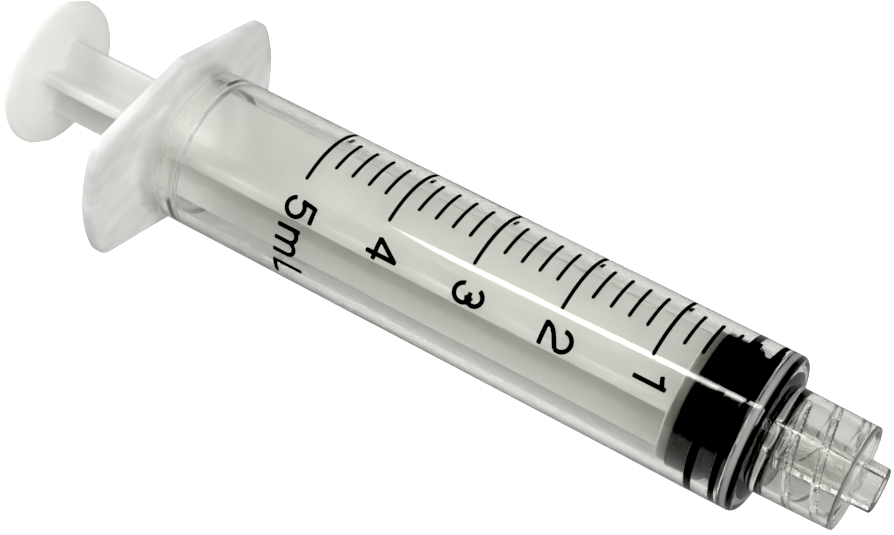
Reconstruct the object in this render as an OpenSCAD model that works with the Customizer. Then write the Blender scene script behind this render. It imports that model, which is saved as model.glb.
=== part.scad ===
// Disposable three-piece syringe, 5 mL, with a Luer-lock tip.
// The barrel lies along X with its tip at the origin, pointing to +X.
// It is rolled so that one long side of the finger flange lies flat, facing -Z.

/* [Barrel] */
// Diameter of the bore
bore_d = 12.3; // [11.8:0.1:12.6]
// Thickness of the barrel wall
wall = 0.95; // [0.8:0.05:1.2]
// Nominal capacity in mL
capacity_ml = 5; // [5:1:5]
// Bore length behind the capacity mark, up to the back of the flange
rear_reserve = 16.8; // [14:0.2:20]
// Thickness of the wall at the front of the barrel
front_wall = 1.4; // [1.2:0.1:1.6]
// Radius of the rounded front edge
front_round = 0.6; // [0.6:0.1:1.0]
// Inner radius of the bead that keeps the plunger in
bead_r = 5.75; // [5.6:0.05:5.8]

/* [Luer lock] */
// Nozzle radius at its tip
nozzle_r = 1.98; // [1.96:0.01:2.0]
// Radius of the fluid channel
channel_r = 1.05; // [0.8:0.05:1.2]
// How far the nozzle stands out of the collar
nozzle_proud = 2.1; // [2.1:0.1:3.0]
// Outer length of the lock collar
collar_len = 7.4; // [6.5:0.1:8.5]
// Outer radius of the collar at its base
collar_base_r = 4.76; // [4.7:0.02:5.2]
// Outer radius of the collar at its mouth
collar_mouth_r = 4.61; // [4.6:0.01:4.7]
// Inner radius of the collar between the threads
thread_root_r = 4.0; // [3.95:0.05:4.1]
// Inner radius at the thread crests
thread_crest_r = 3.5; // [3.45:0.05:3.6]
// Axial advance of the double thread in one turn
thread_lead = 5; // [5:0.5:5]

/* [Finger flange] */
// Radius of the rounded wing ends
wing_r = 13.3; // [12:0.1:15]
// Half width of the flange at its middle
flange_half = 8.6; // [8.3:0.1:9.5]
// Slope of the four long sides, in degrees
flange_slope = 11.5; // [8:0.5:14]
// Thickness of the flange
flange_t = 1.4; // [1.2:0.1:2.0]
// Radius of the wing corners
wing_corner_r = 2; // [1:0.1:2.5]
// Radius of the fillet between flange and barrel
root_fillet = 0.9; // [0.5:0.1:1.0]

/* [Plunger] */
// Radius of the thumb disc
thumb_r = 7.15; // [6.5:0.05:8.5]
// Thickness of the thumb disc
thumb_t = 1.2; // [1.0:0.1:2.0]
// Length of rod that shows behind the flange with the plunger fully in
thumb_gap = 12.85; // [10:0.05:16]
// Half span of the ribs inside the barrel
rib_half = 5.4; // [5.0:0.1:5.5]
// Half span of the ribs near the thumb disc
waist_half = 3.55; // [3.2:0.05:4.5]
// Thickness of the ribs
rib_t = 1.0; // [0.8:0.1:1.4]
// Direction of the first rib about the axis, in degrees from +Z towards -Y
rib_angle = 50.5; // [0:0.5:90]
// Radius of the disc that pushes the stopper
push_disc_r = 5.85; // [5.7:0.05:5.9]
// Thickness of the push disc
push_disc_t = 1.0; // [0.8:0.1:1.2]

/* [Stopper] */
// Running gap between the sealing ribs and the bore
seal_gap = 0.04; // [0.02:0.01:0.08]
// Length of the stopper behind the zero mark
stopper_rear = 4.55; // [4.4:0.05:5]
// Running gap around the rod's head
head_gap = 0.08; // [0.05:0.01:0.1]

/* [Printing] */
// Width of the long graduation lines
major_w = 0.33; // [0.2:0.01:0.4]
// Width of the short graduation lines
minor_w = 0.3; // [0.2:0.01:0.4]
// Half angle covered by a long line, in degrees
major_half_angle = 33.5; // [20:0.5:40]
// Half angle covered by a short line, in degrees
minor_half_angle = 17; // [8:1:20]
// Turn of the scale's middle away from the numerals, in degrees
scale_turn = 1.1; // [0:0.1:5]
// Short divisions in one mL
divisions = 5; // [5:1:5]
// Height of the numerals
numeral_h = 3; // [2.5:0.1:3.2]
// Stroke width of the numerals
stroke_w = 0.4; // [0.25:0.01:0.45]
// Thickness of the ink
ink_t = 0.03; // [0.02:0.01:0.05]

/* [Hidden] */
$fn = 96;

bore_r = bore_d / 2;
barrel_r = bore_r + wall;
ml_len = 1000 / (PI * bore_r * bore_r);

// Stations along X, measured from the nozzle tip
collar_mouth_x = -nozzle_proud;
front_x = collar_mouth_x - collar_len;
zero_x = front_x - 2.0;
floor_x = front_x - front_wall;
full_x = zero_x - capacity_ml * ml_len;
flange_back_x = full_x - rear_reserve;
flange_front_x = flange_back_x + flange_t;
bead_x = flange_back_x + 4.7;
collar_floor_x = front_x + 0.9;
thumb_front_x = flange_back_x - thumb_gap;
thumb_back_x = thumb_front_x - thumb_t;
stopper_back_x = zero_x - stopper_rear;
push_front_x = stopper_back_x - 0.05;
push_back_x = push_front_x - push_disc_t;

// Angles about X: the scale faces +Z once the roll on the flange side is taken off
roll = -flange_slope;
numeral_angle = roll + 52.3;
unit_m_angle = roll + 78.5;
unit_l_angle = roll + 106.4;

// Nozzle taper of 6 % on the diameter
nozzle_base_x = collar_floor_x - 0.5;
nozzle_base_r = nozzle_r - 0.03 * nozzle_base_x;

clear_color = [0.86, 0.88, 0.87, 0.45];
milky_color = [0.88, 0.89, 0.87, 0.85];
rubber_color = [0.03, 0.03, 0.035];
ink_color = [0.02, 0.02, 0.02];

// ---- helpers ----

// Round bar or cone along X from x0 to x1
module bar(x0, x1, r0, r1 = -1) {
    translate([x0, 0, 0])
        rotate([0, 90, 0])
            cylinder(h = x1 - x0, r1 = r0, r2 = r1 < 0 ? r0 : r1);
}

// Round ring with a circular section of radius t, centred at station x and radius r
module bead_ring(x, r, t) {
    translate([x, 0, 0])
        rotate([0, 90, 0])
            rotate_extrude()
                translate([r, 0])
                    circle(r = t, $fn = 48);
}

// Disc of radius r whose edges are rounded with radius t
module round_disc(x0, x1, r, t) {
    bar(x0, x1, r - t);
    bar(x0 + t, x1 - t, r);
    bead_ring(x0 + t, r - t, t);
    bead_ring(x1 - t, r - t, t);
}

// ---- barrel ----

// Outline of the finger flange: wing ends of radius wing_r, long sides that slope to the ends
module flange_outline() {
    side_d = flange_half * cos(flange_slope);
    corner_d = wing_r - wing_corner_r;
    corner_a = asin((side_d - wing_corner_r) / corner_d) - flange_slope;
    cx = corner_d * cos(corner_a);
    cy = corner_d * sin(corner_a);
    tx = cx + wing_corner_r * sin(flange_slope);
    ty = cy + wing_corner_r * cos(flange_slope);
    fan = 2 * wing_r;
    for (side = [0, 180])
        rotate(side) {
            polygon([[0, flange_half], [0, -flange_half], [tx, -ty], [cx, -cy], [cx, cy], [tx, ty]]);
            intersection() {
                circle(r = wing_r);
                polygon([[0, 0], fan * [cos(corner_a), -sin(corner_a)], fan * [cos(corner_a), sin(corner_a)]]);
            }
            for (s = [-1, 1])
                translate([cx, s * cy])
                    circle(r = wing_corner_r);
        }
}

module flange() {
    translate([flange_back_x, 0, 0])
        rotate([roll, 0, 0])
            rotate([90, 0, 90])
                linear_extrude(height = flange_t)
                    flange_outline();
}

// Concave fillet where the barrel leaves the flange
module flange_fillet() {
    translate([flange_front_x - 0.1, 0, 0])
        rotate([0, 90, 0])
            rotate_extrude()
                difference() {
                    translate([barrel_r - 0.3, 0])
                        square([root_fillet + 0.3, root_fillet + 0.1]);
                    translate([barrel_r + root_fillet, root_fillet + 0.1])
                        circle(r = root_fillet, $fn = 48);
                }
}

module barrel_shell() {
    flange();
    flange_fillet();
    bar(flange_back_x, front_x - 0.2 - front_round, barrel_r);
    bead_ring(front_x - 0.2 - front_round, barrel_r - front_round, front_round);
    bar(front_x - 2 * front_round, front_x - 0.2, barrel_r - front_round);
    bar(front_x - 0.2, front_x + 0.15, barrel_r - front_round, collar_base_r - 0.02);
}

module lock_collar() {
    difference() {
        bar(front_x - 0.5, collar_mouth_x, collar_base_r, collar_mouth_r);
        bar(collar_floor_x, collar_mouth_x + 1, thread_root_r);
        bar(collar_mouth_x - 0.4, collar_mouth_x + 0.1, thread_root_r, thread_root_r + 0.3);
    }
    bar(nozzle_base_x, 0, nozzle_base_r, nozzle_r);
    lock_thread();
}

// Two helical ribs inside the collar, right-handed
module lock_thread() {
    thread_len = 5;
    root = thread_root_r + 0.12;
    section = concat(
        [for (a = [-24 : 12 : 24]) root * [cos(a), sin(a)]],
        [for (a = [14 : -14 : -14]) thread_crest_r * [cos(a), sin(a)]]
    );
    translate([collar_mouth_x - 0.5 - thread_len, 0, 0])
        rotate([0, 90, 0])
            linear_extrude(height = thread_len, twist = -360 * thread_len / thread_lead, slices = 20, $fn = 3)
                for (start = [0, 180])
                    rotate(start)
                        polygon(section);
}

module barrel() {
    color(clear_color) {
        difference() {
            union() {
                barrel_shell();
                lock_collar();
            }
            bar(flange_back_x - 1, floor_x, bore_r);
            bar(floor_x, front_x - 0.45, bore_r, channel_r);
            bar(floor_x, 1, channel_r);
            bar(flange_back_x - 0.1, flange_back_x + 0.5, bore_r + 0.4, bore_r - 0.1);
        }
        bead_ring(bead_x, bead_r + 0.5, 0.5);
    }
}

// ---- stopper ----

module stopper() {
    seal_r = bore_r - seal_gap;
    groove_r = bore_r - 0.6;
    seal_round = 0.5;
    rib_x = [zero_x - 2.3, zero_x - 0.15];
    color(rubber_color)
        difference() {
            union() {
                bar(stopper_back_x, zero_x + 0.35, groove_r);
                bar(stopper_back_x + 0.05, stopper_back_x + 0.3, seal_r - 0.02);
                bar(stopper_back_x, stopper_back_x + 1.1, bore_r - 0.2);
                for (x = rib_x)
                    bead_ring(x, seal_r - seal_round, seal_round);
                bar(zero_x - 0.15, zero_x + 0.4, seal_r - 0.25);
                bar(zero_x + 0.4, zero_x + 1.3, seal_r - 0.25, channel_r + 0.15);
            }
            bar(stopper_back_x - 0.1, zero_x - 2, 2.4 + head_gap);
            bar(zero_x - 2.85, zero_x - 1.05, 3.3 + head_gap);
            bar(zero_x - 1.05, zero_x - 0.6, 3.3 + head_gap, 2.4 + head_gap);
        }
}

// ---- plunger rod ----

// One blade of the cross: full width inside the barrel, narrower near the thumb disc
module blade() {
    waist_x = flange_back_x - 3.0;
    full_width_x = waist_x + 2.0;
    translate([0, 0, -rib_t / 2])
        linear_extrude(height = rib_t)
            polygon([
                [thumb_front_x - 0.2, -waist_half],
                [waist_x, -waist_half],
                [full_width_x, -rib_half],
                [push_back_x + 0.2, -rib_half],
                [push_back_x + 0.2, rib_half],
                [full_width_x, rib_half],
                [waist_x, waist_half],
                [thumb_front_x - 0.2, waist_half]
            ]);
}

module plunger_rod() {
    color(milky_color) {
        for (turn = [0, 90])
            rotate([rib_angle + turn, 0, 0])
                rotate([90, 0, 0])
                    blade();
        bar(thumb_front_x - 0.2, push_back_x + 0.2, 1.1);
        round_disc(thumb_back_x, thumb_front_x, thumb_r, 0.5);
        bar(push_back_x, push_front_x, push_disc_r);
        bar(push_front_x - 0.1, zero_x - 2.7, 2.4);
        bar(zero_x - 2.8, zero_x - 1.15, 3.3);
        bar(zero_x - 1.15, zero_x - 0.75, 3.3, 2.5);
    }
}

// ---- printing ----

// Thin arc of ink across the scale side of the barrel
module scale_line(x, w, half_angle) {
    translate([x - w / 2, 0, 0])
        rotate([roll - scale_turn, 0, 0])
            rotate([0, 90, 0])
                rotate([0, 0, 180 - half_angle])
                    rotate_extrude(angle = 2 * half_angle)
                        translate([barrel_r, 0])
                            square([ink_t, w]);
}

module graduation_long() {
    color(ink_color)
        for (ml = [0 : capacity_ml])
            scale_line(zero_x - ml * ml_len, major_w, major_half_angle);
}

module graduation_short() {
    color(ink_color)
        for (ml = [0 : capacity_ml - 1])
            for (d = [1 : divisions - 1])
                scale_line(zero_x - (ml + d / divisions) * ml_len, minor_w, minor_half_angle);
}

// Straight stroke between two points
module line(a, b) {
    d = b - a;
    translate(a)
        rotate(atan2(d.y, d.x))
            translate([0, -stroke_w / 2])
                square([norm(d), stroke_w]);
}

// Round stroke about c with radius r, from angle a0 to a1
module arc(c, r, a0, a1) {
    translate(c)
        intersection() {
            difference() {
                circle(r = r + stroke_w / 2, $fn = 48);
                circle(r = r - stroke_w / 2, $fn = 48);
            }
            polygon(concat([[0, 0]], [for (i = [0 : 8]) let (a = a0 + (a1 - a0) * i / 8) 3 * r * [cos(a), sin(a)]]));
        }
}

// Wraps a glyph around the barrel: reading direction is clockwise about X, tops face the tip.
// The glyph is drawn about u = 0, with its foot at the foot of the numerals.
module print_glyph(ml, angle) {
    foot = -0.72;
    intersection() {
        difference() {
            bar(zero_x - ml * ml_len - 1, zero_x - ml * ml_len + 3, barrel_r + ink_t);
            bar(zero_x - ml * ml_len - 2, zero_x - ml * ml_len + 4, barrel_r);
        }
        rotate([angle, 0, 0])
            translate([zero_x - ml * ml_len + foot, 0, barrel_r - 1])
                linear_extrude(height = 2)
                    rotate(-90)
                        children();
    }
}

module glyph_1() {
    line([-0.38, 0], [-0.38, numeral_h]);
    line([-1.3, numeral_h - 0.73], [-0.38, numeral_h - 0.38]);
}

module glyph_2() {
    r = 0.86;
    top = [-0.1, numeral_h - stroke_w / 2 - r];
    foot_y = stroke_w / 2;
    bend = [[0.72, 1.65], [0.2, 1.38], [-0.42, 1.06], [-0.86, 0.7], [-1.08, foot_y]];
    arc(top, r, -20, 184);
    for (i = [1 : len(bend) - 1])
        line(bend[i - 1], bend[i] + 0.08 * (bend[i] - bend[i - 1]));
    line([-1.18, foot_y], [0.93, foot_y]);
}

module glyph_3() {
    low_r = 0.82;
    high_r = 0.7;
    low = [-0.02, stroke_w / 2 + low_r];
    high = [-0.02, numeral_h - stroke_w / 2 - high_r];
    arc(low, low_r, -170, 82);
    arc(high, high_r, -82, 165);
    line([-0.3, (low.y + low_r + high.y - high_r) / 2], [0.12, (low.y + low_r + high.y - high_r) / 2]);
}

module glyph_4() {
    stem = 0.45;
    bar_y = 0.88;
    line([stem, 0], [stem, numeral_h]);
    line([-1.0, bar_y], [1.0, bar_y]);
    line([-0.9, bar_y], [stem, numeral_h - 0.12]);
}

module glyph_5() {
    r = 0.84;
    low = [0.02, stroke_w / 2 + r];
    top_y = numeral_h - stroke_w / 2;
    arc(low, r, -165, 142);
    line(low + r * [cos(142), sin(142)] + [-0.06, -0.12], [-0.52, top_y + 0.05]);
    line([-0.65, top_y], [0.9, top_y]);
}

module glyph_m() {
    stems = [-1.28, 0, 1.28];
    arch_r = 0.64;
    top = 2.25 - stroke_w / 2;
    line([stems[0], 0], [stems[0], 2.25]);
    for (i = [1, 2]) {
        line([stems[i], 0], [stems[i], top - arch_r + 0.01]);
        arc([stems[i] - arch_r, top - arch_r], arch_r, 0, 165);
    }
}

module glyph_l() {
    line([-0.85, 0], [-0.85, numeral_h]);
    line([-1.0, stroke_w / 2], [0.95, stroke_w / 2]);
}

module numeral_5() {
    color(ink_color)
        print_glyph(5, numeral_angle)
            glyph_5();
}

module unit_mL() {
    color(ink_color) {
        print_glyph(5, unit_m_angle)
            glyph_m();
        print_glyph(5, unit_l_angle)
            glyph_l();
    }
}

module numeral_4() {
    color(ink_color)
        print_glyph(4, numeral_angle)
            glyph_4();
}

module numeral_3() {
    color(ink_color)
        print_glyph(3, numeral_angle)
            glyph_3();
}

module numeral_2() {
    color(ink_color)
        print_glyph(2, numeral_angle)
            glyph_2();
}

module numeral_1() {
    color(ink_color)
        print_glyph(1, numeral_angle)
            glyph_1();
}

barrel();
stopper();
plunger_rod();
graduation_long();
graduation_short();
numeral_5();
unit_mL();
numeral_4();
numeral_3();
numeral_2();
numeral_1();
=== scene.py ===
import math

import bpy
import numpy as np
from mathutils import Matrix, Vector


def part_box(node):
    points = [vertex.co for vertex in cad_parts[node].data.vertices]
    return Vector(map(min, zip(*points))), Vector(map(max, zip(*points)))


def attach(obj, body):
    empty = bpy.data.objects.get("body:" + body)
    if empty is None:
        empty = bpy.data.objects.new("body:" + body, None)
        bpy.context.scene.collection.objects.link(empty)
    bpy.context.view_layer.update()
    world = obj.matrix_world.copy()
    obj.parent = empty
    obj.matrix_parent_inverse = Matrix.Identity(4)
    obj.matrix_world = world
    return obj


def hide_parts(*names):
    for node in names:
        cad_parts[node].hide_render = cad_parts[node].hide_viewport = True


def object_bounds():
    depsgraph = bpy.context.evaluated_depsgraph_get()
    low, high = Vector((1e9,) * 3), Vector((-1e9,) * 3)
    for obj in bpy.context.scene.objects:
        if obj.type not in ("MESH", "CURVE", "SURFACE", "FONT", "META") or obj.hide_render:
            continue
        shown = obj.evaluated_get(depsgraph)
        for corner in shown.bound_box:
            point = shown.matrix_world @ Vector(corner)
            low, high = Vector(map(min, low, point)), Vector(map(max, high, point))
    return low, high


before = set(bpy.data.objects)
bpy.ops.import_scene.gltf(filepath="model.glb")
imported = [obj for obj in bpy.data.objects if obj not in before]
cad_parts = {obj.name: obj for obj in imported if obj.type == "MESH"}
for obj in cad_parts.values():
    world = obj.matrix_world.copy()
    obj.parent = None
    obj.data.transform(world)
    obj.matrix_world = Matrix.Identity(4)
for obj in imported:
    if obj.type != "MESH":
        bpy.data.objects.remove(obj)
cad_lo, cad_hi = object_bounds()

MM = 0.001
FLOOR_GLOW = 1.0          # glow of the floor where the camera sees it directly
FLOOR_OWN = 0.22          # and for all other light
BLACK_LEVEL = 0.05
# Brightness of the studio against the X part of the direction, from 0 at -X to 1 at +X
WORLD_STOPS = ((0.0, 1.7), (0.15, 1.6), (0.24, 0.12), (0.50, 0.12), (0.62, 0.6), (1.0, 0.7))

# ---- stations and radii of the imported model, in millimetres ----


def box_mm(node):
    lo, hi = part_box(node)
    return lo / MM, hi / MM


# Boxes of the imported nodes
barrel_lo, barrel_hi = box_mm("barrel")
stopper_lo, stopper_hi = box_mm("stopper")
rod_lo = box_mm("plunger_rod")[0]
long_lo, long_hi = box_mm("graduation_long")

LONG_LINE_W = 0.33
SHORT_LINE_W = 0.30
TIP_X = barrel_hi.x
FLANGE_BACK_X = barrel_lo.x
ZERO_X = long_hi.x - LONG_LINE_W / 2
FULL_X = long_lo.x + LONG_LINE_W / 2
ML = (ZERO_X - FULL_X) / 5
THUMB_BACK_X = rod_lo.x
STOPPER_BACK_X = stopper_lo.x
NOSE_X = stopper_hi.x

FLANGE_T = 1.4
COLLAR_LEN = 7.4          # from the barrel's shoulder to the collar's mouth
NOZZLE_PROUD = 2.1        # how far the nozzle stands out of the collar
FLANGE_FRONT_X = FLANGE_BACK_X + FLANGE_T
FLANGE_SLOPE = 11.5       # lean of the flange's long sides against its wings, in degrees
ROLL = math.radians(-FLANGE_SLOPE)    # the syringe lies on one of those sides
BARREL_R = 7.1
BARREL_FRONT_R = 7.03
BORE_R = 6.15
COLLAR_MOUTH_X = TIP_X - NOZZLE_PROUD
FRONT_X = TIP_X - NOZZLE_PROUD - COLLAR_LEN
COLLAR_FLOOR_X = FRONT_X + 0.9
BEAD_X = FLANGE_BACK_X + 4.7
BEAD_H = 0.4
NOZZLE_R = 1.98
NOZZLE_TAPER = 0.03       # growth of the nozzle's radius for each mm away from its end
INK_T = 0.03
CHANNEL_R = 1.05
NOSE_R = 1.25
NOSE_CONE_R = 4.95
NOSE_CONE_START = 0.72    # station of the nose cone's radius NOSE_CONE_R, in front of the zero line
CONTACT = 0.01            # how far the pressed rubber goes into the barrel's wall

# ---- mesh helpers ----


def rounded(points, steps=6, support=0.05):
    """Path through (x, r, fillet) points: every corner becomes an arc with a support point on each side."""
    path = []
    last = len(points) - 1
    for i, (x, r, fillet) in enumerate(points):
        corner = np.array([x, r], float)
        if i in (0, last) or fillet <= 0:
            path.append(corner)
            continue
        before = np.array(points[i - 1][:2], float) - corner
        after = np.array(points[i + 1][:2], float) - corner
        before /= np.linalg.norm(before)
        after /= np.linalg.norm(after)
        half = math.acos(float(np.clip(before @ after, -1, 1))) / 2
        cut = fillet / math.tan(half)
        centre = corner + (before + after) / np.linalg.norm(before + after) * fillet / math.sin(half)
        start = corner + before * cut - centre
        end = corner + after * cut - centre
        a0 = math.atan2(start[1], start[0])
        turn = math.atan2(end[1], end[0]) - a0
        turn = (turn + math.pi) % (2 * math.pi) - math.pi
        path.append(corner + before * (cut + support))
        for k in range(steps + 1):
            a = a0 + turn * k / steps
            path.append(centre + fillet * np.array([math.cos(a), math.sin(a)]))
        path.append(corner + after * (cut + support))
    return path


def divided(path, longest):
    """The same path with its long straight parts cut into shorter ones."""
    out = [path[0]]
    for p in path[1:]:
        a = out[-1]
        n = max(1, int(math.ceil(np.linalg.norm(p - a) / longest)))
        out += [a + (p - a) * k / n for k in range(1, n + 1)]
    return out


def new_object(name, verts, faces, smooth_angle=45):
    mesh = bpy.data.meshes.new(name)
    mesh.from_pydata([tuple(v) for v in np.asarray(verts) * MM], [], faces)
    mesh.validate()
    mesh.shade_smooth()
    mesh.set_sharp_from_angle(angle=math.radians(smooth_angle))
    piece = bpy.data.objects.new(name, mesh)
    bpy.context.scene.collection.objects.link(piece)
    return piece


def outward(verts, faces):
    """The faces, turned round if their volume comes out negative."""
    v = np.asarray(verts)
    volume = 0.0
    for f in faces:
        a = v[f[0]]
        for i in range(1, len(f) - 1):
            volume += a @ np.cross(v[f[i]], v[f[i + 1]])
    return faces if volume > 0 else [tuple(reversed(f)) for f in faces]


def lofted(name, rows, closed=False, smooth_angle=45):
    """Closed skin over rows of equally many points. An open loft gets a pole in each end row's middle."""
    rows = [np.asarray(r) for r in rows]
    count = len(rows[0])
    verts = [p for r in rows for p in r]
    faces = []
    for i in range(len(rows) if closed else len(rows) - 1):
        a = i * count
        b = (i + 1) % len(rows) * count
        for j in range(count):
            k = (j + 1) % count
            faces.append((a + j, a + k, b + k, b + j))
    if not closed:
        for first, row in ((0, rows[0]), ((len(rows) - 1) * count, rows[-1])):
            pole = len(verts)
            verts.append(row.mean(axis=0))
            flip = first == 0
            for j in range(count):
                a, b = first + j, first + (j + 1) % count
                faces.append((b, a, pole) if flip else (a, b, pole))
    return new_object(name, verts, outward(verts, faces), smooth_angle)


def ring(x, r, angles):
    """Points about the X axis, angle 0 at +Y turning towards +Z. r is one radius or one for each angle."""
    r = r * np.ones_like(angles)
    return np.stack([np.full_like(angles, x), r * np.cos(angles), r * np.sin(angles)], axis=1)


# ---- barrel ----

AROUND = 384
WING_R = 13.3
WING_CORNER_R = 2.0
FLANGE_HALF = 8.6
FLANGE_EDGE = 0.42        # radius of the flange's rounded rim
FLANGE_FILLET = 0.72      # between the flange and the tube
SHOULDER_FILLET = 0.6
COLLAR_BASE_R = 4.74
COLLAR_RIM_R = 4.61
THREAD_ROOT_R = 4.0
THREAD_CREST_R = 3.5
THREAD_LEAD = 5.0
THREAD_LEN = 5.0
THREAD_GAP = 0.5          # between the thread's end and the collar's mouth
THREAD_FOOT_ANGLE = 24    # half of the angle that a rib's foot covers, in degrees
THREAD_FLANK_ANGLE = 10   # and the angle of its flank


def flange_outline(turn):
    """Outline points and outward normals of the flange at these angles, in the flange's own axes."""
    slope = math.radians(FLANGE_SLOPE)
    side_d = FLANGE_HALF * math.cos(slope)
    corner_d = WING_R - WING_CORNER_R
    corner_a = math.asin((side_d - WING_CORNER_R) / corner_d) - slope
    c = corner_d * np.array([math.cos(corner_a), math.sin(corner_a)])
    side_n = np.array([math.sin(slope), math.cos(slope)])
    meet = c + WING_CORNER_R * side_n
    meet_a = math.atan2(meet[1], meet[0])
    points, normals = [], []
    for a in turn:
        sx = 1 if math.cos(a) >= 0 else -1
        sy = 1 if math.sin(a) >= 0 else -1
        a = math.atan2(abs(math.sin(a)), abs(math.cos(a)))
        d = np.array([math.cos(a), math.sin(a)])
        if a <= corner_a:
            p, n = WING_R * d, d
        elif a <= meet_a:
            along = c @ d
            p = (along + math.sqrt(along * along - c @ c + WING_CORNER_R ** 2)) * d
            n = (p - c) / WING_CORNER_R
        else:
            p, n = side_d / (side_n @ d) * d, side_n
            if d[0] < 1e-6:
                n = np.array([0.0, 1.0])
        points.append(p * (sx, sy))
        normals.append(n * (sx, sy))
    return np.array(points), np.array(normals)


def rolled(row):
    """The row turned from the flange's own axes to the way the syringe lies."""
    c, s = math.cos(ROLL), math.sin(ROLL)
    y, z = row[:, 1].copy(), row[:, 2].copy()
    return np.stack([row[:, 0], y * c - z * s, y * s + z * c], axis=1)


def thread_height(x, turn):
    """How far the two helical ribs stand in from the collar's bore, for the angles about X."""
    start = COLLAR_MOUTH_X - THREAD_GAP - THREAD_LEN
    phase = np.degrees(turn + ROLL) + 90 - 360 * (x - start) / THREAD_LEAD
    off = np.abs((phase + 90) % 180 - 90)
    flank = np.clip((THREAD_FOOT_ANGLE - off) / THREAD_FLANK_ANGLE, 0, 1)
    ends = np.clip(min(x - start + 0.15, start + THREAD_LEN + 0.15 - x) / 0.45, 0, 1)
    return (THREAD_ROOT_R - THREAD_CREST_R) * flank * flank * (3 - 2 * flank) * ends


def nose_cone_x(r):
    """Station of the stopper's nose cone at radius r."""
    start = ZERO_X + NOSE_CONE_START
    return start + (NOSE_X - start) * (NOSE_CONE_R - r) / (NOSE_CONE_R - NOSE_R)


def make_barrel():
    turn = np.linspace(0, 2 * math.pi, AROUND, endpoint=False)
    outline, normal = flange_outline(turn)
    nozzle_base_r = NOZZLE_R - NOZZLE_TAPER * (COLLAR_FLOOR_X - TIP_X)
    # from the flange's back through the bore, out of the channel and over the nozzle into the collar
    bore = rounded([
        (FLANGE_BACK_X, 7.0, 0),
        (FLANGE_BACK_X, BORE_R, 0.4),
        (BEAD_X - 0.55, BORE_R, 0.2),
        (BEAD_X - 0.15, BORE_R - BEAD_H, 0.25),
        (BEAD_X + 0.15, BORE_R - BEAD_H, 0.25),
        (BEAD_X + 0.55, BORE_R, 0.2),
        (nose_cone_x(BORE_R) - CONTACT, BORE_R, 0.3),
        (nose_cone_x(CHANNEL_R) - CONTACT, CHANNEL_R, 0.2),
        (TIP_X, CHANNEL_R, 0.14),
        (TIP_X, NOZZLE_R, 0.2),
        (COLLAR_FLOOR_X, nozzle_base_r, 0.3),
        (COLLAR_FLOOR_X, THREAD_ROOT_R, 0.35),
        (COLLAR_FLOOR_X + 0.8, THREAD_ROOT_R, 0),
    ])
    thread = [np.array([x, THREAD_ROOT_R])
              for x in np.arange(COLLAR_FLOOR_X + 0.88, COLLAR_MOUTH_X - 0.55, 0.085)]
    # from the collar's mouth back over the outside to the flange's front face
    front = rounded([
        (COLLAR_MOUTH_X - THREAD_GAP, THREAD_ROOT_R, 0),
        (COLLAR_MOUTH_X - 0.38, THREAD_ROOT_R, 0.08),
        (COLLAR_MOUTH_X, THREAD_ROOT_R + 0.3, 0.08),
        (COLLAR_MOUTH_X, COLLAR_RIM_R, 0.13),
        (FRONT_X + 0.14, COLLAR_BASE_R, 0.28),
        (FRONT_X - 0.30, BARREL_FRONT_R, SHOULDER_FILLET),
        (FLANGE_FRONT_X, BARREL_R, FLANGE_FILLET),
        (FLANGE_FRONT_X, BARREL_R + FLANGE_FILLET + 0.05, 0),
    ], steps=9)
    rows = [ring(p[0], p[1], turn) for p in divided(bore, 5.0)]
    for p in thread:
        rows.append(ring(p[0], p[1] - thread_height(p[0], turn), turn))
    rows += [ring(p[0], p[1], turn) for p in divided(front, 5.0)]

    def rim(inset, x):
        yz = outline - inset * normal
        return np.column_stack([np.full(AROUND, x), yz])

    face_edge = rim(FLANGE_EDGE + 0.03, FLANGE_FRONT_X)
    rows.append(rows[-1] * 0.5 + face_edge * 0.5)
    rows.append(face_edge)
    steps = 6
    for k in range(steps + 1):
        a = math.pi / 2 * k / steps
        inset = FLANGE_EDGE * (1 - math.sin(a))
        rows.append(rim(inset, FLANGE_FRONT_X - FLANGE_EDGE * (1 - math.cos(a))))
    for k in range(steps + 1):
        a = math.pi / 2 * (1 - k / steps)
        inset = FLANGE_EDGE * (1 - math.sin(a))
        rows.append(rim(inset, FLANGE_BACK_X + FLANGE_EDGE * (1 - math.cos(a))))
    back_edge = rim(FLANGE_EDGE + 0.03, FLANGE_BACK_X)
    rows.append(back_edge)
    rows.append(back_edge * 0.5 + rows[0] * 0.5)
    return lofted("barrel_moulding", [rolled(r) for r in rows], closed=True)


# ---- stopper ----

GROOVE_R = 5.55
LIP_R = BORE_R - 0.05
BACK_R = BORE_R - 0.12
SOCKET_NECK_R = 2.48
SOCKET_HEAD_R = 3.38
POLE_ROW_R = 0.3          # radius of the end rows, which a pole closes


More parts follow.
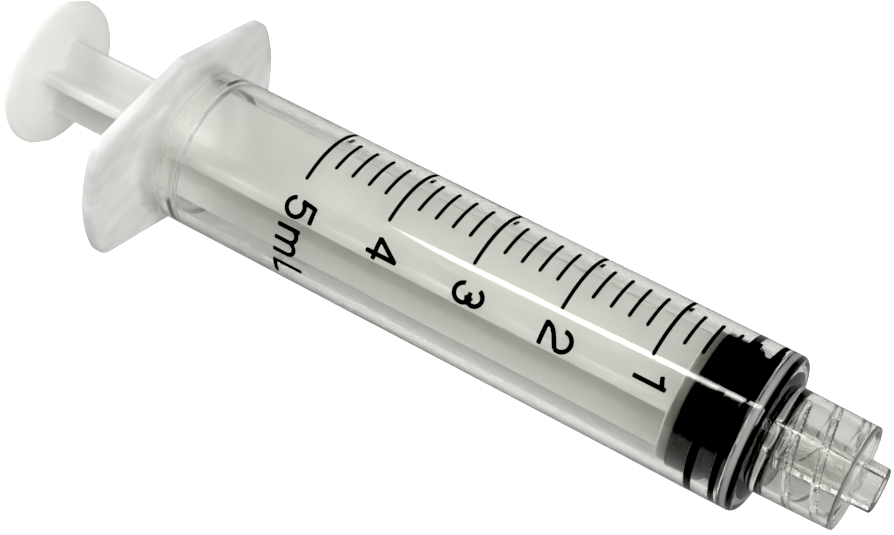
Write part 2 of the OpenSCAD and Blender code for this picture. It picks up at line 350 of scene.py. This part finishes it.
def make_stopper():
    turn = np.linspace(0, 2 * math.pi, 192, endpoint=False)
    seal_r = BORE_R + CONTACT
    rib_1 = ZERO_X - 2.3
    rib_2 = ZERO_X - 0.15
    back = STOPPER_BACK_X
    # from the socket's end out over the back and forward to the nose
    path = rounded([
        (ZERO_X - 0.6, POLE_ROW_R, 0),
        (ZERO_X - 0.6, SOCKET_NECK_R, 0.2),
        (ZERO_X - 1.05, SOCKET_HEAD_R, 0.2),
        (ZERO_X - 2.0, SOCKET_HEAD_R, 0.2),
        (ZERO_X - 2.0, SOCKET_NECK_R, 0.2),
        (back, SOCKET_NECK_R, 0.25),
        (back, LIP_R, 0.12),
        (back + 0.32, LIP_R, 0.1),
        (back + 0.42, BORE_R - 0.15, 0.06),
        (back + 1.0, BACK_R, 0.2),
        (rib_1 - 0.72, BACK_R, 0.2),
        (rib_1 - 0.60, BORE_R - 0.3, 0.08),
        (rib_1 - 0.42, seal_r, 0.2),
        (rib_1 + 0.42, seal_r, 0.2),
        (rib_1 + 0.62, GROOVE_R, 0.15),
        (rib_2 - 0.55, GROOVE_R, 0.15),
        (rib_2 - 0.35, seal_r, 0.18),
        (rib_2 + 0.30, seal_r, 0.18),
        (nose_cone_x(BORE_R - 0.6), BORE_R - 0.6, 0.1),
        (NOSE_X, NOSE_R, 0.2),
        (NOSE_X, POLE_ROW_R, 0),
    ], steps=5, support=0.03)
    return lofted("rubber_stopper", [ring(p[0], p[1], turn) for p in path])


# ---- plunger rod ----

RIB_HALF = 5.4
WAIST_HALF = 3.55
RIB_T = 1.0
RIB_ANGLE = 50.5
CORE_FILLET = 0.95
THUMB_R = 7.15
THUMB_T = 1.2
PUSH_R = 5.85
PUSH_T = 1.0
PUSH_GAP = 0.05           # between the push disc and the stopper's back
NECK_R = 2.4
HEAD_R = 3.3
WAIST_GAP = 3.0           # the ribs start to widen this far behind the flange's back
WAIST_LEN = 2.0           # and reach their full width after this length
PAD_GROOVE = 0.12         # depth of the rings in the thumb disc's back
THUMB_BLEND = 0.45        # how far the cross widens where it meets the thumb disc
PUSH_BLEND = 0.3          # and where it meets the push disc


def cross_section(half, grow=0.0):
    """Star-shaped loop of the four ribs, as (across, up) points, grown outwards by grow."""
    half = half + grow
    t = RIB_T / 2 + grow
    core = max(CORE_FILLET - grow, 0.2)
    tip = 0.22
    quarter = []
    for k in range(4):
        a = math.pi / 2 * k / 3
        quarter.append((half - tip + tip * math.cos(a), t - tip + tip * math.sin(a)))
    inner = t + core
    for share in (0.25, 0.5, 0.72, 0.88):
        quarter.append((half - tip + (inner - half + tip) * share, t))
    for k in range(9):
        a = math.pi / 2 * k / 8
        quarter.append((inner - core * math.sin(a), inner - core * math.cos(a)))
    for share in (0.88, 0.72, 0.5, 0.25):
        quarter.append((t, half - tip + (inner - half + tip) * share))
    for k in range(4):
        a = math.pi / 2 * k / 3
        quarter.append((t - tip + tip * math.cos(a), half - tip + tip * math.sin(a)))
    loop = []
    for q in range(4):
        c, s = math.cos(q * math.pi / 2), math.sin(q * math.pi / 2)
        loop += [(x * c - y * s, x * s + y * c) for x, y in quarter]
    return np.array(loop)


def make_rod():
    first = math.radians(RIB_ANGLE + 90)

    def cross(x, half, grow=0.0):
        loop = cross_section(half, grow)
        c, s = math.cos(first), math.sin(first)
        yz = np.stack([loop[:, 0] * c - loop[:, 1] * s, loop[:, 0] * s + loop[:, 1] * c], axis=1)
        return np.column_stack([np.full(len(yz), x), yz])

    def turned(row):
        return np.arctan2(row[:, 2], row[:, 1])

    front = THUMB_BACK_X + THUMB_T
    push_front = STOPPER_BACK_X - PUSH_GAP
    push_back = push_front - PUSH_T
    waist = FLANGE_BACK_X - WAIST_GAP
    thumb_turn = turned(cross(0, WAIST_HALF, THUMB_BLEND + 0.04))
    push_turn = turned(cross(0, RIB_HALF, PUSH_BLEND))
    back = THUMB_BACK_X
    groove = back + PAD_GROOVE
    # thumb disc, from the middle of its back round to its front
    pad = rounded([
        (groove, 0.6, 0),
        (groove, 1.5, 0.1),
        (back, 1.65, 0.1),
        (back, 2.75, 0.1),
        (groove, 2.9, 0.1),
        (groove, 3.3, 0.1),
        (back, 3.45, 0.1),
        (back, 4.55, 0.1),
        (groove, 4.7, 0.1),
        (groove, 5.1, 0.1),
        (back, 5.25, 0.1),
        (back, THUMB_R, 0.48),
        (front, THUMB_R, 0.55),
        (front, 5.0, 0),
    ], steps=5, support=0.03)
    rows = [ring(p[0], p[1], thumb_turn) for p in pad]
    rows.append(cross(front, WAIST_HALF, THUMB_BLEND + 0.04))
    for k in range(7):
        a = math.pi / 2 * k / 6
        grow = THUMB_BLEND * (1 - math.sin(a))
        rows.append(cross(front + THUMB_BLEND * (1 - math.cos(a)), WAIST_HALF, grow))
    for x in np.linspace(front + THUMB_BLEND + 0.1, waist - 0.2, 6):
        rows.append(cross(x, WAIST_HALF))
    for k in range(13):
        s = k / 12
        ease = s * s * (3 - 2 * s)
        rows.append(cross(waist + WAIST_LEN * s, WAIST_HALF + (RIB_HALF - WAIST_HALF) * ease))
    for x in np.linspace(waist + WAIST_LEN + 1.2, push_back - 0.5, 12):
        rows.append(cross(x, RIB_HALF))
    for k in range(6):
        a = math.pi / 2 * k / 5
        grow = PUSH_BLEND * (1 - math.cos(a))
        rows.append(cross(push_back - PUSH_BLEND * (1 - math.sin(a)), RIB_HALF, grow))
    # push disc, neck and head
    push = rounded([
        (push_back, PUSH_R - 0.12, 0),
        (push_back, PUSH_R, 0.1),
        (push_front, PUSH_R, 0.12),
        (push_front, NECK_R, 0.2),
        (ZERO_X - 2.72, NECK_R, 0.1),
        (ZERO_X - 2.72, HEAD_R, 0.15),
        (ZERO_X - 1.15, HEAD_R, 0.25),
        (ZERO_X - 0.75, 2.45, 0.3),
        (ZERO_X - 0.75, 0.3, 0),
    ], steps=5, support=0.03)
    rows += [ring(p[0], p[1], push_turn) for p in push]
    return lofted("plunger_moulding", rows)


# ---- printing ----

SCALE_ANGLE = ROLL - math.radians(1.1)
LONG_HALF_ANGLE = 33.5    # half of the angle that a scale line covers, in degrees
SHORT_HALF_ANGLE = 17
INK_LIFT = INK_T - 0.004  # the ink's surface over the barrel's
INK_SINK = 0.02           # how far its back lies under it


def barrel_radius(x):
    """Outer radius of the barrel at station x, with its slight draft."""
    share = (x - FLANGE_FRONT_X) / (FRONT_X - FLANGE_FRONT_X)
    return BARREL_R + (BARREL_FRONT_R - BARREL_R) * min(max(share, 0), 1)


def on_barrel(u, x, turn, lift):
    """Point at arc length u from the direction turn, which is measured about X from +Z towards -Y."""
    r = barrel_radius(x)
    b = turn + u / r
    r += lift
    return (x, -r * math.sin(b), r * math.cos(b))


def solid_print(cells, turn):
    """Thin solid over flat polygons, given as lists of (u, x) points that share their corners."""
    index = {}
    flat = []

    def corner(p):
        key = (round(p[0], 5), round(p[1], 5))
        if key not in index:
            index[key] = len(flat)
            flat.append(p)
        return index[key]

    polys = []
    for cell in cells:
        ids = [corner(p) for p in cell]
        ids = [v for i, v in enumerate(ids) if v != ids[i - 1]]
        if len(ids) > 2:
            polys.append(ids)
    n = len(flat)
    verts = [on_barrel(u, x, turn, INK_LIFT) for u, x in flat]
    verts += [on_barrel(u, x, turn, -INK_SINK) for u, x in flat]
    edges = {}
    for ids in polys:
        for a, b in zip(ids, ids[1:] + ids[:1]):
            edges[(a, b)] = edges.get((a, b), 0) + 1
    faces = [tuple(ids) for ids in polys]
    faces += [tuple(v + n for v in reversed(ids)) for ids in polys]
    faces += [(b, a, a + n, b + n) for a, b in edges if (b, a) not in edges]
    return verts, outward(verts, faces)


def line_cells(x, width, half_angle):
    """Cells of one scale line with round ends, in (arc, x)."""
    reach = math.radians(half_angle) * barrel_radius(x)
    r = width / 2
    across = [math.sin(math.radians(a)) for a in (-90, -45, 0, 45, 90)]
    end = [(-reach + r * (1 - math.cos(math.radians(a))), math.sin(math.radians(a)))
           for a in (8, 30, 60, 90)]
    middle = np.linspace(-reach + r, reach - r, 33)[1:-1]
    columns = end + [(u, 1.0) for u in middle] + [(-u, w) for u, w in reversed(end)]
    cells = []
    for (u0, w0), (u1, w1) in zip(columns, columns[1:]):
        for s0, s1 in zip(across, across[1:]):
            cells.append([(u0, x + r * w0 * s0), (u1, x + r * w1 * s0),
                          (u1, x + r * w1 * s1), (u0, x + r * w0 * s1)])
    return cells


def print_object(name, groups):
    """One mesh from several (cells, direction) prints."""
    verts, faces = [], []
    for cells, turn in groups:
        v, f = solid_print(cells, turn)
        faces += [tuple(i + len(verts) for i in face) for face in f]
        verts += v
    return new_object(name, verts, faces, 35)


# Glyphs are drawn as signed distances: below zero inside the ink.
STROKE = 0.40
NUMERAL_H = 3.0
SMALL_M_H = 2.25


def stroke(a, b, cap=0.07):
    """Straight stroke from a to b with nearly square, softened ends."""
    a, b = np.array(a, float), np.array(b, float)
    length = np.linalg.norm(b - a)
    d = (b - a) / length
    middle = (a + b) / 2

    def distance(px, py):
        x, y = px - middle[0], py - middle[1]
        along = np.abs(x * d[0] + y * d[1]) - length / 2 + cap
        side = np.abs(-x * d[1] + y * d[0]) - STROKE / 2 + cap
        outside = np.hypot(np.maximum(along, 0), np.maximum(side, 0))
        return outside + np.minimum(np.maximum(along, side), 0) - cap
    return distance


def arc(c, r, a0, a1):
    """Round stroke about c from angle a0 up to a1, in degrees."""
    middle = math.radians((a0 + a1) / 2)
    half = math.radians((a1 - a0) / 2)

    def distance(px, py):
        x, y = px - c[0], py - c[1]
        off = np.abs((np.arctan2(y, x) - middle + math.pi) % (2 * math.pi) - math.pi)
        band = np.abs(np.hypot(x, y) - r) - STROKE / 2
        beyond = (off - half) * r
        return np.maximum(band, beyond)
    return distance


def glyph_1():
    return [stroke((-0.38, 0), (-0.38, NUMERAL_H)),
            stroke((-1.3, NUMERAL_H - 0.73), (-0.38, NUMERAL_H - 0.38))]


def glyph_2():
    r = 0.86
    foot = STROKE / 2
    bend = [(0.72, 1.65), (0.2, 1.38), (-0.42, 1.06), (-0.86, 0.7), (-1.08, foot)]
    parts = [arc((-0.1, NUMERAL_H - STROKE / 2 - r), r, -20, 184), stroke((-1.18, foot), (0.93, foot))]
    for a, b in zip(bend, bend[1:]):
        parts.append(stroke(a, (b[0] + 0.08 * (b[0] - a[0]), b[1] + 0.08 * (b[1] - a[1])), cap=0.03))
    return parts


def glyph_3():
    low_r, high_r = 0.82, 0.70
    low = (-0.02, STROKE / 2 + low_r)
    high = (-0.02, NUMERAL_H - STROKE / 2 - high_r)
    waist = (low[1] + low_r + high[1] - high_r) / 2
    return [arc(low, low_r, -170, 84), arc(high, high_r, -84, 165), stroke((-0.3, waist), (0.14, waist))]


def glyph_4():
    return [stroke((0.45, 0), (0.45, NUMERAL_H)),
            stroke((-1.0, 0.88), (1.0, 0.88)),
            stroke((-0.93, 0.86), (0.45, NUMERAL_H - 0.12))]


def glyph_5():
    r = 0.84
    low = np.array([0.02, STROKE / 2 + r])
    a = math.radians(142)
    top = NUMERAL_H - STROKE / 2
    return [arc(low, r, -165, 144),
            stroke(low + r * np.array([math.cos(a), math.sin(a)]) + (-0.06, -0.12), (-0.52, top + 0.05)),
            stroke((-0.65, top), (0.9, top))]


def glyph_m():
    arch = 0.64
    top = SMALL_M_H - STROKE / 2
    parts = [stroke((-1.28, 0), (-1.28, SMALL_M_H))]
    for foot in (0.0, 1.28):
        parts.append(stroke((foot, 0), (foot, top - arch + 0.05)))
        parts.append(arc((foot - arch, top - arch), arch, -3, 165))
    return parts


def glyph_l():
    return [stroke((-0.85, 0), (-0.85, NUMERAL_H)), stroke((-1.02, STROKE / 2), (0.95, STROKE / 2))]


def glyph_cells(parts, foot_x, step=0.06):
    """Cells of the ink region of a glyph whose foot is at station foot_x, by marching over a fine grid."""
    us = np.arange(-1.7, 1.7, step)
    vs = np.arange(-0.25, NUMERAL_H + 0.3, step)
    gu, gv = np.meshgrid(us, vs, indexing="ij")
    field = np.min([part(gu, gv) for part in parts], axis=0)
    field[np.abs(field) < 1e-4] = 1e-4
    cells = []
    for i in range(len(us) - 1):
        for j in range(len(vs) - 1):
            corners = [(i, j), (i + 1, j), (i + 1, j + 1), (i, j + 1)]
            values = [field[c] for c in corners]
            if min(values) > 0:
                continue
            cell = []
            for k in range(4):
                a, b = corners[k], corners[(k + 1) % 4]
                fa, fb = values[k], values[(k + 1) % 4]
                if fa < 0:
                    cell.append((us[a[0]], foot_x + vs[a[1]]))
                if (fa < 0) != (fb < 0):
                    t = fa / (fa - fb)
                    u = us[a[0]] + (us[b[0]] - us[a[0]]) * t
                    v = vs[a[1]] + (vs[b[1]] - vs[a[1]]) * t
                    cell.append((u, foot_x + v))
            cells.append(cell)
    return cells


NUMERAL_ANGLE = ROLL + math.radians(52.3)
UNIT_M_ANGLE = ROLL + math.radians(78.5)
UNIT_L_ANGLE = ROLL + math.radians(106.4)
NUMERAL_FOOT = -0.72


def make_printing():
    def add(name, groups, *nodes):
        piece = print_object(name, groups)
        piece.data.materials.append(ink)
        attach(piece, "barrel")
        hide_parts(*nodes)

    long_lines = [(line_cells(ZERO_X - ml * ML, LONG_LINE_W, LONG_HALF_ANGLE), SCALE_ANGLE)
                  for ml in range(6)]
    short_lines = [(line_cells(ZERO_X - (ml + d / 5) * ML, SHORT_LINE_W, SHORT_HALF_ANGLE), SCALE_ANGLE)
                   for ml in range(5) for d in range(1, 5)]
    add("print_long_lines", long_lines, "graduation_long")
    add("print_short_lines", short_lines, "graduation_short")
    for ml, glyph in ((1, glyph_1), (2, glyph_2), (3, glyph_3), (4, glyph_4), (5, glyph_5)):
        foot_x = ZERO_X - ml * ML + NUMERAL_FOOT
        add(f"print_numeral_{ml}", [(glyph_cells(glyph(), foot_x), NUMERAL_ANGLE)], f"numeral_{ml}")
    foot_x = ZERO_X - 5 * ML + NUMERAL_FOOT
    add("print_unit_mL", [(glyph_cells(glyph_m(), foot_x), UNIT_M_ANGLE),
                          (glyph_cells(glyph_l(), foot_x), UNIT_L_ANGLE)], "unit_mL")


# ---- materials ----

POLYPROPYLENE_IOR = 1.49
# Shares of scattered light in the barrel
FLANGE_HAZE = 0.68
REAR_HAZE = 0.10
CLEAR_HAZE = 0.01
SHOULDER_HAZE = 0.4
COLLAR_HAZE = 0.03
MOUTH_HAZE = 0.3
# Colour sockets of a mix node
MIX_A = 6
MIX_B = 7
MIX_RESULT = 2


def material(name):
    made = bpy.data.materials.new(name)
    made.use_nodes = True
    return made, made.node_tree, made.node_tree.nodes["Principled BSDF"]


def link(tree, a, b):
    tree.links.new(a, b)


def object_noise(tree, scale, detail=2.0, roughness=0.5, stretch=(1, 1, 1)):
    where = tree.nodes.new("ShaderNodeTexCoord")
    mapping = tree.nodes.new("ShaderNodeMapping")
    mapping.inputs["Scale"].default_value = stretch
    noise = tree.nodes.new("ShaderNodeTexNoise")
    noise.inputs["Scale"].default_value = scale
    noise.inputs["Detail"].default_value = detail
    noise.inputs["Roughness"].default_value = roughness
    link(tree, where.outputs["Object"], mapping.inputs["Vector"])
    link(tree, mapping.outputs["Vector"], noise.inputs["Vector"])
    return noise.outputs["Fac"]


def ranged(tree, value, low, high, from_low=0.3, from_high=0.7):
    node = tree.nodes.new("ShaderNodeMapRange")
    node.inputs["From Min"].default_value = from_low
    node.inputs["From Max"].default_value = from_high
    node.inputs["To Min"].default_value = low
    node.inputs["To Max"].default_value = high
    link(tree, value, node.inputs["Value"])
    return node.outputs["Result"]


def combined(tree, operation, a, b):
    node = tree.nodes.new("ShaderNodeMath")
    node.operation = operation
    link(tree, a, node.inputs[0])
    link(tree, b, node.inputs[1])
    return node.outputs["Value"]


def mixed(tree, factor, a, b):
    """Colour between the colours a and b. Each is a node's output or an RGBA value."""
    node = tree.nodes.new("ShaderNodeMix")
    node.data_type = "RGBA"
    link(tree, factor, node.inputs["Factor"])
    for socket, colour in ((node.inputs[MIX_A], a), (node.inputs[MIX_B], b)):
        if isinstance(colour, tuple):
            socket.default_value = colour
        else:
            link(tree, colour, socket)
    return node.outputs[MIX_RESULT]


def tinted(tree, value, dark, light):
    """Colour between dark and light, over the middle range of the value."""
    ramp = tree.nodes.new("ShaderNodeValToRGB")
    ramp.color_ramp.elements[0].position = 0.3
    ramp.color_ramp.elements[0].color = (*dark, 1)
    ramp.color_ramp.elements[1].position = 0.7
    ramp.color_ramp.elements[1].color = (*light, 1)
    link(tree, value, ramp.inputs["Fac"])
    return ramp.outputs["Color"]


def ramped(tree, value, stops):
    """Grey ramp through (position, brightness) stops."""
    ramp = tree.nodes.new("ShaderNodeValToRGB")
    ramp.color_ramp.interpolation = "EASE"
    for i, (at, grey) in enumerate(stops):
        stop = ramp.color_ramp.elements[i] if i < 2 else ramp.color_ramp.elements.new(at)
        stop.position = at
        stop.color = (grey, grey, grey, 1)
    link(tree, value, ramp.inputs["Fac"])
    return ramp.outputs["Color"]


def bumped(tree, shader, height, distance, strength=1.0):
    bump = tree.nodes.new("ShaderNodeBump")
    bump.inputs["Distance"].default_value = distance
    bump.inputs["Strength"].default_value = strength
    link(tree, height, bump.inputs["Height"])
    link(tree, bump.outputs["Normal"], shader.inputs["Normal"])


def along_x(tree):
    where = tree.nodes.new("ShaderNodeTexCoord")
    split = tree.nodes.new("ShaderNodeSeparateXYZ")
    link(tree, where.outputs["Object"], split.inputs["Vector"])
    return split.outputs["X"]


def cloudiness(tree):
    """Share of the barrel's light that is scattered, against X.

    The flange is milky, the clear tube has faint bands at its shoulder and at the collar's mouth,
    and flow marks vary all of it a little.
    """
    x = along_x(tree)

    def step(low, high, start, end):
        return ranged(tree, x, low, high, start * MM, end * MM)

    flange = step(FLANGE_HAZE, 0.0, FLANGE_FRONT_X + 0.05, FLANGE_FRONT_X + 2.0)
    rear = step(REAR_HAZE, CLEAR_HAZE, FLANGE_FRONT_X + 1, FULL_X + 6)
    shoulder = combined(tree, "MULTIPLY", step(0.0, SHOULDER_HAZE, FRONT_X - 1.3, FRONT_X - 1.1),
                        step(1.0, 0.0, FRONT_X - 0.8, FRONT_X - 0.6))
    collar = step(0.0, COLLAR_HAZE, FRONT_X + 0.05, FRONT_X + 0.3)
    mouth = combined(tree, "MULTIPLY",
                     step(0.0, MOUTH_HAZE, COLLAR_MOUTH_X - 0.35, COLLAR_MOUTH_X - 0.1),
                     step(1.0, 0.0, COLLAR_MOUTH_X + 0.05, COLLAR_MOUTH_X + 0.3))
    total = combined(tree, "ADD", flange, rear)
    for part in (shoulder, collar, mouth):
        total = combined(tree, "ADD", total, part)
    flow = ranged(tree, object_noise(tree, 260, 3.0, stretch=(1, 0.4, 1)), 0.75, 1.2)
    return combined(tree, "MULTIPLY", total, flow)


def clear_polypropylene():
    """Clear moulded plastic, milkier towards the flange."""
    made, tree, shader = material("clear_polypropylene")
    shader.inputs["IOR"].default_value = POLYPROPYLENE_IOR
    shader.inputs["Subsurface Scale"].default_value = 0.002
    shader.inputs["Subsurface Radius"].default_value = (1.0, 1.0, 1.0)
    shader.inputs["Subsurface Weight"].default_value = 0.6
    slow = object_noise(tree, 90, 2.0)
    colour = tinted(tree, slow, (0.966, 0.972, 0.942), (0.986, 0.991, 0.963))
    link(tree, colour, shader.inputs["Base Color"])
    link(tree, ranged(tree, slow, 0.02, 0.05), shader.inputs["Roughness"])
    shader.inputs["Coat Weight"].default_value = 0.3
    shader.inputs["Coat IOR"].default_value = 1.4
    link(tree, ranged(tree, slow, 0.14, 0.2), shader.inputs["Coat Roughness"])
    link(tree, ranged(tree, cloudiness(tree), 1.0, 0.0, 0, 1), shader.inputs["Transmission Weight"])
    bumped(tree, shader, object_noise(tree, 160, 1.0, stretch=(0.4, 1, 1)), 0.00007, 0.5)
    return made


def milky_polypropylene():
    """Unpigmented moulded plastic that lets light in but hides what is behind it, with painted shade on the
    push disc.
    """
    made, tree, shader = material("milky_polypropylene")
    shader.inputs["IOR"].default_value = POLYPROPYLENE_IOR
    shader.inputs["Subsurface Weight"].default_value = 0.8
    shader.inputs["Subsurface Scale"].default_value = 0.004
    shader.inputs["Subsurface Radius"].default_value = (1.0, 1.0, 0.95)
    shader.inputs["Specular IOR Level"].default_value = 0.36
    slow = object_noise(tree, 140, 2.0)
    # painted shade: the thin push disc is coloured dark grey to stand in for the black stopper showing
    # through it
    disc_x = STOPPER_BACK_X - PUSH_T
    painted_shade_at_disc = ranged(tree, along_x(tree), 0, 1, (disc_x - 0.2) * MM, (disc_x + 0.2) * MM)
    rod_colour = tinted(tree, slow, (0.735, 0.74, 0.71), (0.785, 0.79, 0.76))
    disc_painted_shade_colour = tinted(tree, slow, (0.15, 0.15, 0.142), (0.21, 0.21, 0.20))
    link(tree, mixed(tree, painted_shade_at_disc, rod_colour, disc_painted_shade_colour), shader.inputs["Base Color"])
    link(tree, ranged(tree, slow, 0.28, 0.4), shader.inputs["Roughness"])
    bumped(tree, shader, object_noise(tree, 2600, 2.0), 0.00001, 0.4)
    return made


def black_rubber():
    """Black rubber with hardly any gloss."""
    made, tree, shader = material("black_rubber")
    slow = object_noise(tree, 400, 3.0)
    colour = tinted(tree, slow, (0.006, 0.006, 0.007), (0.014, 0.014, 0.015))
    link(tree, colour, shader.inputs["Base Color"])
    link(tree, ranged(tree, slow, 0.5, 0.65), shader.inputs["Roughness"])
    shader.inputs["Specular IOR Level"].default_value = 0.06
    bumped(tree, shader, object_noise(tree, 5000, 2.0), 0.00001, 0.5)
    return made


def black_ink():
    """Screen-printed ink, a little grainy."""
    made, tree, shader = material("black_ink")
    grain = object_noise(tree, 3000, 3.0)
    colour = tinted(tree, grain, (0.004, 0.004, 0.004), (0.014, 0.014, 0.014))
    link(tree, colour, shader.inputs["Base Color"])
    link(tree, ranged(tree, grain, 0.42, 0.6), shader.inputs["Roughness"])
    shader.inputs["Specular IOR Level"].default_value = 0.2
    bumped(tree, shader, grain, 0.000006, 0.4)
    return made


def pale_floor():
    """Pale floor that glows white towards the camera and is dark in mirror reflections."""
    made, tree, shader = material("pale_floor")
    slow = object_noise(tree, 4, 2.0)
    shader.inputs["Roughness"].default_value = 0.9
    shader.inputs["Specular IOR Level"].default_value = 0.2
    shader.inputs["Emission Color"].default_value = (1, 1, 1, 1)
    path = tree.nodes.new("ShaderNodeLightPath")
    mirrored = combined(tree, "MULTIPLY", path.outputs["Is Reflection Ray"], path.outputs["Is Glossy Ray"])
    paper = tinted(tree, slow, (0.52, 0.52, 0.51), (0.54, 0.54, 0.53))
    link(tree, mixed(tree, mirrored, paper, (0.1, 0.1, 0.1, 1)), shader.inputs["Base Color"])
    glow = ranged(tree, path.outputs["Is Camera Ray"], FLOOR_OWN, FLOOR_GLOW, 0, 1)
    link(tree, glow, shader.inputs["Emission Strength"])
    return made


# ---- the pieces ----

ink = black_ink()

barrel = make_barrel()
barrel.data.materials.append(clear_polypropylene())
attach(barrel, "barrel")
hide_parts("barrel")

stopper = make_stopper()
stopper.data.materials.append(black_rubber())
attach(stopper, "stopper")
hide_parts("stopper")

rod = make_rod()
rod.data.materials.append(milky_polypropylene())
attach(rod, "plunger")
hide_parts("plunger_rod")

make_printing()

# ---- floor, light and camera ----

FLOOR_HALF = 1500
FLOOR_GAP = 0.02
floor_z = cad_lo.z / MM - FLOOR_GAP
floor_corners = [(sx * FLOOR_HALF, sy * FLOOR_HALF, floor_z)
                 for sx, sy in ((-1, -1), (1, -1), (1, 1), (-1, 1))]
floor = new_object("floor", floor_corners, [(0, 1, 2, 3)])
floor.data.materials.append(pale_floor())


def area_light(name, at, towards, size, radiance, colour=(1, 1, 1), turn=0):
    """Rectangular lamp of the given size in mm, turned in its own plane, whose surface has that radiance."""
    lamp = bpy.data.lights.new(name, "AREA")
    lamp.shape = "RECTANGLE"
    lamp.size = size[0] * MM
    lamp.size_y = size[1] * MM
    lamp.energy = radiance * math.pi * lamp.size * lamp.size_y
    lamp.color = colour
    holder = bpy.data.objects.new(name, lamp)
    bpy.context.scene.collection.objects.link(holder)
    at, towards = Vector(at) * MM, Vector(towards) * MM
    back = (at - towards).normalized()
    side = Vector((math.cos(math.radians(turn)), math.sin(math.radians(turn)), 0))
    side = (side - back * side.dot(back)).normalized()
    up = back.cross(side)
    holder.matrix_world = Matrix.Translation(at) @ Matrix((side, up, back)).transposed().to_4x4()


def make_world():
    """Studio surroundings by WORLD_STOPS, four times as bright above as near the horizon."""
    world = bpy.data.worlds.new("studio")
    world.use_nodes = True
    tree = world.node_tree
    background = tree.nodes["Background"]
    where = tree.nodes.new("ShaderNodeTexCoord")
    split = tree.nodes.new("ShaderNodeSeparateXYZ")
    link(tree, where.outputs["Generated"], split.inputs["Vector"])
    share = ranged(tree, split.outputs["X"], 0, 1, -1, 1)
    link(tree, ramped(tree, share, WORLD_STOPS), background.inputs["Color"])
    link(tree, ranged(tree, split.outputs["Z"], 0.25, 1.0, 0.15, 0.6), background.inputs["Strength"])
    bpy.context.scene.world = world


make_world()
area_light("strip", at=(-140, -84, 500), towards=(-30, 0, 0), size=(190, 42), radiance=11.5,
           colour=(1.0, 0.985, 0.96), turn=30)
area_light("front_box", at=(300, -120, 420), towards=(-40, 0, 0), size=(300, 200), radiance=6.0)
area_light("rear_box", at=(-540, -120, 420), towards=(-40, 0, 0), size=(300, 220), radiance=11.0)

CAMERA_POSITION = (18.15, -91.2, 143.55)
CAMERA_RIGHT = Vector((0.8412, 0.5407, -0.0032))
CAMERA_UP = Vector((-0.4290, 0.6710, 0.6048))
CAMERA_LENS = 84.28
SENSOR_WIDTH = 36

camera_data = bpy.data.cameras.new("camera")
camera_data.sensor_width = SENSOR_WIDTH
camera_data.lens = CAMERA_LENS
camera_data.clip_start = 0.01
camera_data.clip_end = 20
camera = bpy.data.objects.new("camera", camera_data)
bpy.context.scene.collection.objects.link(camera)
right = CAMERA_RIGHT.normalized()
up = (CAMERA_UP - right * CAMERA_UP.dot(right)).normalized()
axes = Matrix((right, up, right.cross(up))).transposed().to_4x4()
camera.matrix_world = Matrix.Translation(Vector(CAMERA_POSITION) * MM) @ axes
bpy.context.scene.camera = camera

bpy.context.scene.view_settings.view_transform = "Standard"
bpy.context.scene.view_settings.look = "None"
bpy.context.scene.view_settings.use_curve_mapping = True
bpy.context.scene.view_settings.curve_mapping.black_level = (BLACK_LEVEL, BLACK_LEVEL, BLACK_LEVEL)
bpy.context.scene.view_settings.curve_mapping.update()

bpy.context.scene.cycles.blur_glossy = 0.0

# ---- update the view layer ----

bpy.context.view_layer.update()
